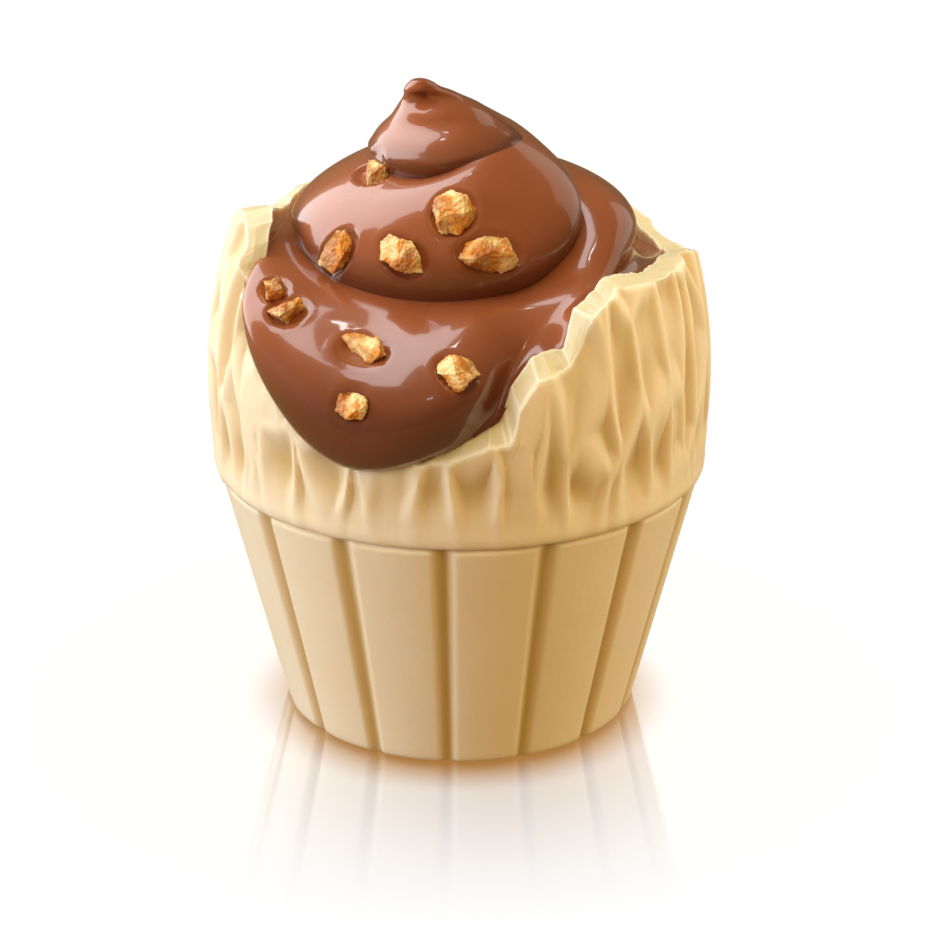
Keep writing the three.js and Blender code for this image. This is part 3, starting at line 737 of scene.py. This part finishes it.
def creamPoint(turn, share):
    # one long band: each column spans from the crease above it to the crease one turn later
    turn, share = np.broadcast_arrays(np.asarray(turn, float), np.asarray(share, float))
    lastTurn = swirl["creaseTurns"] + swirl["pourStart"] - 1
    points = np.zeros(turn.shape + (3,))
    part = turn < 0
    t, s = turn[part], share[part]
    fullWay = swirl["borderWay"]
    whole = wholeCone(t + 1, coneWay(s, fullWay - 1) * startBorder(t + 1) / fullWay)
    points[part] = mix(whole, creasedCone(t, coneWay(s, 1)), fadeIn(t + 1)[..., None])
    part = (turn >= 0) & (turn < lastTurn)
    t, s = turn[part], share[part]
    border = startBorder(t)
    whole = wholeCone(t, border + (2 - border) * s)
    upper = mix(whole, tierPoint(t, s), fadeIn(t)[..., None])
    points[part] = mix(upper, pourPoint(t, endBorder(t + 1) * s), fadeOut(t + 1)[..., None])
    part = turn >= lastTurn
    t, s = turn[part], share[part]
    border = endBorder(t)
    points[part] = mix(pourPoint(t, s), pourPoint(t - 1, border + (1 - border) * s), fadeOut(t)[..., None])
    return points


def rowShare(row):
    # rows crowd towards both creases
    crowding = 0.7
    r = row / swirl["rows"]
    return r - crowding * np.sin(2 * math.pi * r) / (2 * math.pi)


def creamPiece(chips):
    perTurn, rows = swirl["columnsPerTurn"], swirl["rows"]
    columns = round((swirl["creaseTurns"] + swirl["pourStart"] + 1) * perTurn)
    turns = np.arange(columns + 1) / perTurn - 1
    shares = rowShare(np.arange(rows + 1))
    band = creamPoint(turns[:, None], shares[None, :])
    points = [band[0, 0]]
    grid = np.zeros((columns + 1, rows + 1), int)
    for c in range(1, columns):
        if c > perTurn:
            grid[c, 0] = grid[c - perTurn, rows]
        grid[c, 1:] = len(points) + np.arange(rows)
        points.extend(band[c, 1:])
    grid[columns, :] = grid[columns - perTurn, rows]
    faces = []
    for c in range(columns):
        for r in range(rows):
            corners = list(dict.fromkeys((grid[c, r], grid[c + 1, r], grid[c + 1, r + 1], grid[c, r + 1])))
            if len(corners) > 2:
                faces.append([int(k) for k in corners])
    points = dent(np.array(points), chips)

    # the rest of the filling: just into the wall, then down the inside of the shell to its floor
    rim = grid[columns - perTurn:columns, rows]
    ring = points[rim]
    azimuths = np.degrees(np.arctan2(ring[:, 0], -ring[:, 1]))
    ringHeight = ring[:, 2]
    ringRadius = np.hypot(ring[:, 0], ring[:, 1])
    sunk, halfWall = 0.12, shell["wall"] / 2
    push = np.where(ringRadius > outerRadius(ringHeight) - halfWall, -0.2, sunk)
    points[rim, :2] *= ((ringRadius + push) / ringRadius)[:, None]
    below = rim
    for level in (np.minimum(ringHeight - 0.5, 30.5), 24.0, 20.5, 12.0, 6.0, shell["floor"] + 0.9):
        height = np.minimum(level, ringHeight - 0.3)
        row = outward(azimuths) * (outerRadius(height) - shell["wall"] + sunk)[:, None]
        row[:, 2] = height
        index = len(points) + np.arange(len(rim))
        points = np.vstack([points, row])
        faces += ringFaces(below, index)
        below = index
    faces += fanFaces(below, len(points))
    points = np.vstack([points, [0, 0, shell["floor"] - 0.1]])
    piece = meshObject("creamSwirl", points, faces)

    # painted shade: darker where a tier turns under and on the low end of the spill
    paintedShade = np.zeros(len(points))
    paintedShade[grid[:, 1:]] = ease(0.62, 0.95, shares[1:]) * (turns[:, None] < swirl["creaseTurns"] - 1)
    paintedShade = np.maximum(paintedShade, ease(32, 26, points[:, 2]))
    addAttribute(piece, "paintedShade", paintedShade)
    return piece


# turn and share of the band where each chip sits, its length, width and thickness,
# and how far it is rolled round
chipPlaces = [
    (0.494, 0.110, 2.9, 2.1, 1.7, -20), (0.312, 0.400, 3.3, 2.9, 1.8, 62), (0.440, 0.738, 3.4, 2.3, 1.6, 62),
    (0.363, 0.670, 3.5, 2.4, 1.6, -32), (0.272, 0.677, 4.5, 2.6, 1.7, -6), (1.466, 0.262, 2.3, 1.7, 1.4, 100),
    (1.446, 0.268, 2.5, 2.2, 1.6, 20), (1.380, 0.225, 3.5, 2.2, 1.5, -10), (1.319, 0.395, 3.0, 2.3, 1.6, -42),
    (1.383, 0.460, 2.4, 2.0, 1.4, -10),
    (-0.25, 0.70, 2.6, 2.0, 1.5, 30), (0.84, 0.62, 3.4, 2.3, 1.6, -25), (0.70, 0.78, 2.5, 2.0, 1.4, 55),
    (0.76, 0.42, 3.0, 2.2, 1.5, 10), (0.90, 0.80, 3.6, 2.3, 1.6, -40), (1.72, 0.52, 2.9, 2.2, 1.5, 35),
    (1.79, 0.56, 3.6, 2.1, 1.5, -15), (1.86, 0.50, 2.4, 1.9, 1.4, 65), (1.66, 0.60, 2.7, 1.9, 1.4, -50),
]


def chipFrames(places):
    frames = []
    for turn, share, length, width, thick, roll in places:
        t, s = np.array([turn]), np.array([share])
        point = creamPoint(t, s)[0]
        along = creamPoint(t + 0.004, s)[0] - creamPoint(t - 0.004, s)[0]
        down = creamPoint(t, s + 0.01)[0] - creamPoint(t, s - 0.01)[0]
        normal = np.cross(down, along)
        normal /= np.linalg.norm(normal)
        if np.dot(normal, point - np.array([0, 0, 30.0])) < 0:
            normal = -normal
        level = np.cross(upward, normal)
        level /= np.linalg.norm(level)
        other = np.cross(normal, level)
        angle = math.radians(roll)
        first = level * math.cos(angle) + other * math.sin(angle)
        second = np.cross(normal, first)
        frames.append((point, first, second, normal, (length, width, thick)))
    return frames


seat = {
    "share": 0.18,           # depth of a seat, as a share of its chip's thickness, and in mm
    "extra": 0.08,
    "side": (0.84, 1.14),    # where its side rises, in half lengths of the chip
    "lip": 0.025,            # mm
    "lipPlace": 1.3,
    "lipWidth": 0.12,
}


def dent(points, chips):
    # presses each chip's seat into the cream and lifts a soft rim round it
    moved = points.copy()
    for point, first, second, normal, (length, width, thick) in chips:
        offset = points - point
        away = np.linalg.norm(offset, axis=1) < 2 * length
        reach = np.hypot(offset[away] @ first / (length / 2), offset[away] @ second / (width / 2))
        depth = seat["share"] * thick + seat["extra"]
        lip = seat["lip"] * np.exp(-((reach - seat["lipPlace"]) / seat["lipWidth"])**2)
        press = lip - depth * (1 - ease(*seat["side"], reach))
        moved[away] += normal * press[:, None]
    return moved


brittleKinds = 7
brittleGrowth = 1.06         # a hull of scattered points comes out a little small
brittleLift = 0.06           # how far a chip stands out of its place, as a share of its thickness
brittle = {
    "Corners": 5.2,          # scattered hull points for each unit of area
    "Grain": 0.143 * mm,
    "Grain size": 0.24 * mm,
    "Lumps": 0.8 * mm,
    "Lump scale": 600.0,
}


def brittleTree(material):
    desk, given, out = geometryTree("brittleChips", brittle, material)
    rocks = desk.node("GeometryNodeJoinGeometry")
    for kind in range(brittleKinds):
        ball = desk.node("GeometryNodeMeshIcoSphere", {"Radius": 0.5, "Subdivisions": 3})
        spread = desk.node("GeometryNodeDistributePointsOnFaces", {
            "Mesh": ball.outputs["Mesh"], "Density": given["Corners"], "Seed": 5 + kind})
        hull = desk.node("GeometryNodeConvexHull", {0: spread.outputs["Points"]})
        fine = desk.node("GeometryNodeSubdivideMesh", {"Mesh": hull.outputs[0], "Level": 4})
        one = desk.node("GeometryNodeGeometryToInstance", {0: fine.outputs[0]})
        desk.tree.links.new(one.outputs[0], rocks.inputs[0])

    tilt = desk.node("FunctionNodeEulerToRotation", {0: desk.named("tilt", "FLOAT_VECTOR")})
    placed = desk.node("GeometryNodeInstanceOnPoints", {
        "Points": given["Geometry"], "Instance": rocks.outputs[0], "Pick Instance": True,
        "Instance Index": desk.named("kind", "INT"), "Rotation": tilt.outputs[0],
        "Scale": desk.named("size", "FLOAT_VECTOR")})
    real = desk.node("GeometryNodeRealizeInstances", {0: placed.outputs[0]})
    place = desk.node("GeometryNodeInputPosition").outputs[0]
    normal = desk.node("GeometryNodeInputNormal").outputs[0]
    lump = desk.noise(place, given["Lump scale"], 1.0).outputs["Fac"]
    lump = desk.times(desk.minus(lump, 0.55), given["Lumps"])
    cells = desk.node("ShaderNodeTexVoronoi", {"Vector": place, "Scale": desk.over(1.0, given["Grain size"])})
    grain = desk.times(desk.minus(0.5, cells.outputs["Distance"]), given["Grain"])
    move = desk.scaled(normal, desk.plus(lump, grain))
    moved = desk.node("GeometryNodeSetPosition", {"Geometry": real.outputs[0], "Offset": move})
    return endTree(desk, given, out, moved.outputs[0])


def brittlePiece(chips, material):
    seats, tilts, sizes, kinds = [], [], [], []
    for k, (point, first, second, normal, size) in enumerate(chips):
        seats.append(point + normal * size[2] * brittleLift)
        frameOf = Matrix((first, second, normal)).transposed()
        tilts.append(tuple(frameOf.to_euler("XYZ")))
        sizes.append([s * mm * brittleGrowth for s in size])
        kinds.append(k % brittleKinds)
    piece = meshObject("nutBrittle", seats, [])
    addAttribute(piece, "tilt", tilts, "FLOAT_VECTOR")
    addAttribute(piece, "size", sizes, "FLOAT_VECTOR")
    layer = piece.data.attributes.new("kind", "INT", "POINT")
    layer.data.foreach_set("value", kinds)
    return runNodes(piece, brittleTree(material), dict(brittle, Material=material))


def softMottleGroup():
    # slow and fine unevenness, for anything that was poured or piped
    inputs = [("Vector", "NodeSocketVector", None), ("Patch size", "NodeSocketFloat", 0.006),
              ("Grain size", "NodeSocketFloat", 0.0004), ("Seed", "NodeSocketFloat", 0.0)]
    outputs = [("Patches", "NodeSocketFloat"), ("Grain", "NodeSocketFloat")]
    desk, given, out = newTree("softMottle", "ShaderNodeTree", inputs, outputs)
    seed = desk.node("ShaderNodeCombineXYZ", {0: given["Seed"]}).outputs[0]
    shifted = desk.vector("ADD", given["Vector"], seed)
    for label, size, roughness, low, high in (("Patches", "Patch size", 0.45, 0.32, 0.68),
                                              ("Grain", "Grain size", 0.6, 0.3, 0.7)):
        spots = desk.noise(shifted, desk.over(1.0, given[size]), 3.0, roughness).outputs["Fac"]
        desk.feed(out.inputs[label], desk.stretch(spots, low, high))
    return desk.tree


def newMaterial(name, settings):
    material = bpy.data.materials.new(name)
    material.use_nodes = True
    desk = NodeDesk(material.node_tree)
    shader = material.node_tree.nodes["Principled BSDF"]
    for label, value in settings.items():
        shader.inputs[label].default_value = value
    place = desk.node("ShaderNodeTexCoord").outputs["Object"]
    return material, desk, shader, place


def useGroup(desk, tree, place, patch, grain, seed):
    inputs = {"Vector": place, "Patch size": patch, "Grain size": grain, "Seed": seed}
    return desk.node("ShaderNodeGroup", inputs, node_tree=tree).outputs


def finishShader(desk, shader, colour, roughness, height, distance, strength):
    desk.feed(shader.inputs["Base Color"], colour)
    desk.feed(shader.inputs["Roughness"], roughness)
    bump = desk.node("ShaderNodeBump", {"Height": height, "Distance": distance, "Strength": strength})
    desk.feed(shader.inputs["Normal"], bump.outputs[0])


def readMark(desk, label):
    return desk.node("ShaderNodeAttribute", attribute_name=label).outputs["Fac"]


chocolateLook = {
    "cream": (0.88, 0.76, 0.50, 1),
    "warm": (0.82, 0.67, 0.37, 1),
    "shadedHollow": (0.60, 0.40, 0.12, 1),
    "broken": (0.71, 0.63, 0.37, 1),
    "inside": (0.74, 0.58, 0.32, 1),
    "breakHighlight": (0.93, 0.88, 0.66, 1),
}


def whiteChocolate(mottle):
    material, desk, shader, place = newMaterial("whiteChocolate", {
        "IOR": 1.46, "Subsurface Weight": 0.25, "Subsurface Radius": (1.0, 0.6, 0.3),
        "Subsurface Scale": 0.0012})
    look = chocolateLook
    uneven = useGroup(desk, mottle, place, 0.009, 0.0005, 0.0)
    colour = desk.blend(desk.times(uneven["Patches"], 0.5), look["cream"], look["warm"])
    # painted shade in the scoops' hollows and the flute grooves
    colour = desk.blend(desk.times(readMark(desk, "shadedHollow"), 0.85), colour, look["shadedHollow"])
    broken = readMark(desk, "broken")
    colour = desk.blend(broken, colour, look["broken"])
    # painted shade: the inside of the shell is darker than its outside
    colour = desk.blend(readMark(desk, "inside"), colour, look["inside"])
    # painted highlight along the edges and clearest creases of the break
    colour = desk.blend(desk.times(readMark(desk, "breakHighlight"), 0.8), colour, look["breakHighlight"])
    along = desk.times(readMark(desk, "alongEdge"), 1.6)
    lines = desk.node("ShaderNodeTexNoise", {"W": along, "Scale": 1.0, "Detail": 3.0}, noise_dimensions="1D")
    height = desk.plus(desk.times(uneven["Grain"], 0.25),
                       desk.times(desk.times(lines.outputs["Fac"], broken), 2.0))
    roughness = desk.stretch(uneven["Patches"], 0.0, 1.0, 0.36, 0.46)
    finishShader(desk, shader, colour, roughness, height, 0.00006, 0.6)
    return material


nutCreamLook = {
    "deep": (0.295, 0.087, 0.031, 1),
    "light": (0.37, 0.114, 0.043, 1),
    "paintedShade": (0.085, 0.018, 0.006, 1),
}


def nutCream(mottle):
    material, desk, shader, place = newMaterial("nutCream", {
        "IOR": 1.5, "Coat Weight": 1.0, "Coat IOR": 1.6, "Coat Roughness": 0.06,
        "Subsurface Weight": 0.1, "Subsurface Radius": (1.0, 0.4, 0.2), "Subsurface Scale": 0.0008})
    uneven = useGroup(desk, mottle, place, 0.007, 0.0009, 3.0)
    colour = desk.blend(uneven["Patches"], nutCreamLook["deep"], nutCreamLook["light"])
    # painted shade under the tiers and on the low end of the spill
    colour = desk.blend(desk.times(readMark(desk, "paintedShade"), 0.85), colour, nutCreamLook["paintedShade"])
    roughness = desk.stretch(uneven["Patches"], 0.0, 1.0, 0.2, 0.28)
    finishShader(desk, shader, colour, roughness, uneven["Patches"], 0.00005, 0.25)
    return material


brittleLook = {
    "sugar": (0.95, 0.70, 0.30, 1),
    "amber": (0.76, 0.30, 0.035, 1),
    "toasted": (0.36, 0.08, 0.01, 1),
    "frosted": (0.96, 0.82, 0.5, 1),
}


def brittleMaterial(mottle):
    material, desk, shader, place = newMaterial("nutBrittleMaterial", {
        "IOR": 1.5, "Subsurface Weight": 0.3, "Subsurface Radius": (1.0, 0.5, 0.15),
        "Subsurface Scale": 0.0006})
    uneven = useGroup(desk, mottle, place, 0.0011, 0.00016, 7.0)
    look = brittleLook
    colour = desk.blend(desk.stretch(uneven["Patches"], 0.28, 0.7), look["sugar"], look["amber"])
    toasted = desk.stretch(desk.noise(place, 480.0, 2.0).outputs["Fac"], 0.46, 0.62)
    colour = desk.blend(desk.times(toasted, 0.75), colour, look["toasted"])
    frosted = desk.stretch(uneven["Grain"], 0.65, 1.0)
    colour = desk.blend(desk.times(frosted, 0.5), colour, look["frosted"])
    roughness = desk.stretch(uneven["Grain"], 0.0, 1.0, 0.2, 0.45)
    finishShader(desk, shader, colour, roughness, uneven["Grain"], 0.00006, 0.5)
    return material


# the egg, piece by piece
sharpShell, sharpBreak, sharpChip = 34, 5, 24       # degrees from which an edge is kept crisp
mottle = softMottleGroup()
chocolate = whiteChocolate(mottle)
shellObject, breakSpan = shellPiece()
runNodes(shellObject, carvingTree(chocolate), dict(carving, Material=chocolate))
markSharp(shellObject, breakSpan, sharpShell, sharpBreak)
print("shell:", len(shellObject.data.polygons), "faces")

chips = chipFrames(chipPlaces)
creamObject = creamPiece(chips)
creamObject.data.materials.append(nutCream(mottle))
creamObject.data.shade_smooth()
print("cream:", len(creamObject.data.polygons), "faces")

brittleObject = brittlePiece(chips, brittleMaterial(mottle))
brittleObject.data.shade_smooth()
brittleObject.data.set_sharp_from_angle(angle=math.radians(sharpChip))
print("brittle:", len(brittleObject.data.polygons), "faces")

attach(shellObject, "root")
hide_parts("white_chocolate_shell")
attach(creamObject, "root")
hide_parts("nut_cream_filling")
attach(brittleObject, "root")


# camera, floor and light
studio = {
    "aim": (0, 0, 0.024),
    "cameraPlace": (0.00022, -0.1703, 0.0841),
    "cameraTilt": 21.43,         # degrees down
    "lens": 101.1,
    "fill": (0.17, 0.12, 0.065, 1),
    "floorGlow": (0.34, 0.20, 0.075, 1),
    "floorSize": 0.8,
    "footShadow": (0.0112, 0.0160),    # radii between which the painted warm shadow round the foot fades
    "footShadowTint": (0.50, 0.22, 0.05, 1),
    "footShadowPlace": (0, -0.0008, 0),
    "mirrorReach": (0.012, 0.034),
    "mirrorShare": 0.44,
    "mirrorTint": (1, 0.94, 0.85, 1),
}
white = (1, 1, 1, 1)


def softbox(name, azimuth, rise, distance, width, height, radiance, colour=(1, 1, 1), mirrored=True):
    # azimuth and rise in degrees as seen from the aim; sizes in metres
    aim = Vector(studio["aim"])
    side = outward(azimuth)
    level = math.cos(math.radians(rise)) * distance
    place = aim + Vector((side[0] * level, side[1] * level, math.sin(math.radians(rise)) * distance))
    light = bpy.data.lights.new(name, "AREA")
    light.shape = "RECTANGLE"
    light.size = width
    light.size_y = height
    light.energy = radiance * math.pi * width * height
    light.color = colour
    lamp = bpy.data.objects.new(name, light)
    lamp.visible_glossy = mirrored
    lamp.location = place
    lamp.rotation_euler = (aim - place).to_track_quat("-Z", "Y").to_euler()
    bpy.context.scene.collection.objects.link(lamp)
    return lamp


softbox("leftSoftbox", -117, 37, 0.3, 0.27, 0.50, 2.6, (0.94, 0.97, 1.0))
softbox("rightSoftbox", 124, 22, 0.3, 0.26, 0.24, 0.5, (1.0, 0.92, 0.86))
softbox("leftWash", -76, 5, 0.5, 0.30, 0.30, 12.0, (0.61, 0.71, 1.0), mirrored=False)
rightWash = softbox("rightWash", 85, 5, 0.5, 0.30, 0.30, 5.2, (1.0, 0.80, 0.52), mirrored=False)
rightRim = softbox("rightRim", 108, 32, 0.5, 0.30, 0.30, 4.0, (0.82, 0.89, 1.0), mirrored=False)
softbox("frontWash", -6, 40, 0.5, 0.30, 0.30, 4.0, (1.0, 0.71, 0.38), mirrored=False)
softbox("topWash", -30, 84, 0.5, 0.30, 0.30, 2.6, (1.0, 0.88, 0.72), mirrored=False)
softbox("frontSpark", 5, 48, 0.4, 0.03, 0.006, 14)
softbox("backSpark", -172, 74, 0.4, 0.018, 0.008, 16)
floorCard = softbox("floorCard", 180, 12, 0.7, 2.4, 0.9, 1.0)


def floorPiece():
    half = studio["floorSize"] / 2 / mm
    corners = [(-half, -half, 0), (half, -half, 0), (half, half, 0), (-half, half, 0)]
    floor = meshObject("studioFloor", corners, [(0, 1, 2, 3)])
    material = bpy.data.materials.new("paleFloor")
    material.use_nodes = True
    material.node_tree.nodes.clear()
    desk = NodeDesk(material.node_tree)
    place = desk.node("ShaderNodeTexCoord").outputs["Object"]
    flat = desk.vector("MULTIPLY", place, (1, 1, 0))
    flat = desk.vector("SUBTRACT", flat, studio["footShadowPlace"])
    away = desk.node("ShaderNodeVectorMath", {0: flat}, operation="LENGTH").outputs["Value"]
    near = desk.stretch(away, *studio["footShadow"], 1.0, 0.0, smooth=True)
    shine = desk.stretch(away, *studio["mirrorReach"], studio["mirrorShare"], 0.0, smooth=True)
    # painted shadow: a warm tint round the foot, seen by the camera only
    tint = desk.blend(near, white, studio["footShadowTint"])
    seen = desk.node("ShaderNodeLightPath").outputs["Is Camera Ray"]
    glow = desk.node("ShaderNodeEmission", {"Color": desk.blend(seen, studio["floorGlow"], tint)})
    mirror = desk.node("ShaderNodeBsdfGlossy", {"Color": studio["mirrorTint"], "Roughness": 0.09})
    share = desk.times(seen, shine)
    both = desk.node("ShaderNodeMixShader", {0: share, 1: glow.outputs[0], 2: mirror.outputs[0]})
    desk.node("ShaderNodeOutputMaterial", {"Surface": both.outputs[0]})
    floor.data.materials.append(material)
    return floor


def lightsOnly(lamp, piece):
    # keeps a lamp to one piece
    group = bpy.data.collections.new(lamp.name + "Only")
    group.objects.link(piece)
    lamp.light_linking.receiver_collection = group


lightsOnly(floorCard, floorPiece())
lightsOnly(rightWash, shellObject)
lightsOnly(rightRim, shellObject)

world = bpy.data.worlds.new("studioWorld")
bpy.context.scene.world = world
world.use_nodes = True
worldDesk = NodeDesk(world.node_tree)
seen = worldDesk.node("ShaderNodeLightPath").outputs["Is Camera Ray"]
backdrop = world.node_tree.nodes["Background"]
worldDesk.feed(backdrop.inputs["Color"], worldDesk.blend(seen, studio["fill"], white))
backdrop.inputs["Strength"].default_value = 1.0

cameraData = bpy.data.cameras.new("camera")
cameraData.sensor_width = 36
cameraData.lens = studio["lens"]
cameraData.clip_start = 0.01
camera = bpy.data.objects.new("camera", cameraData)
camera.location = studio["cameraPlace"]
camera.rotation_euler = (math.radians(90 - studio["cameraTilt"]), 0, 0)
bpy.context.scene.collection.objects.link(camera)
bpy.context.scene.camera = camera
bpy.context.scene.view_settings.view_transform = "Standard"

print("studio ready")
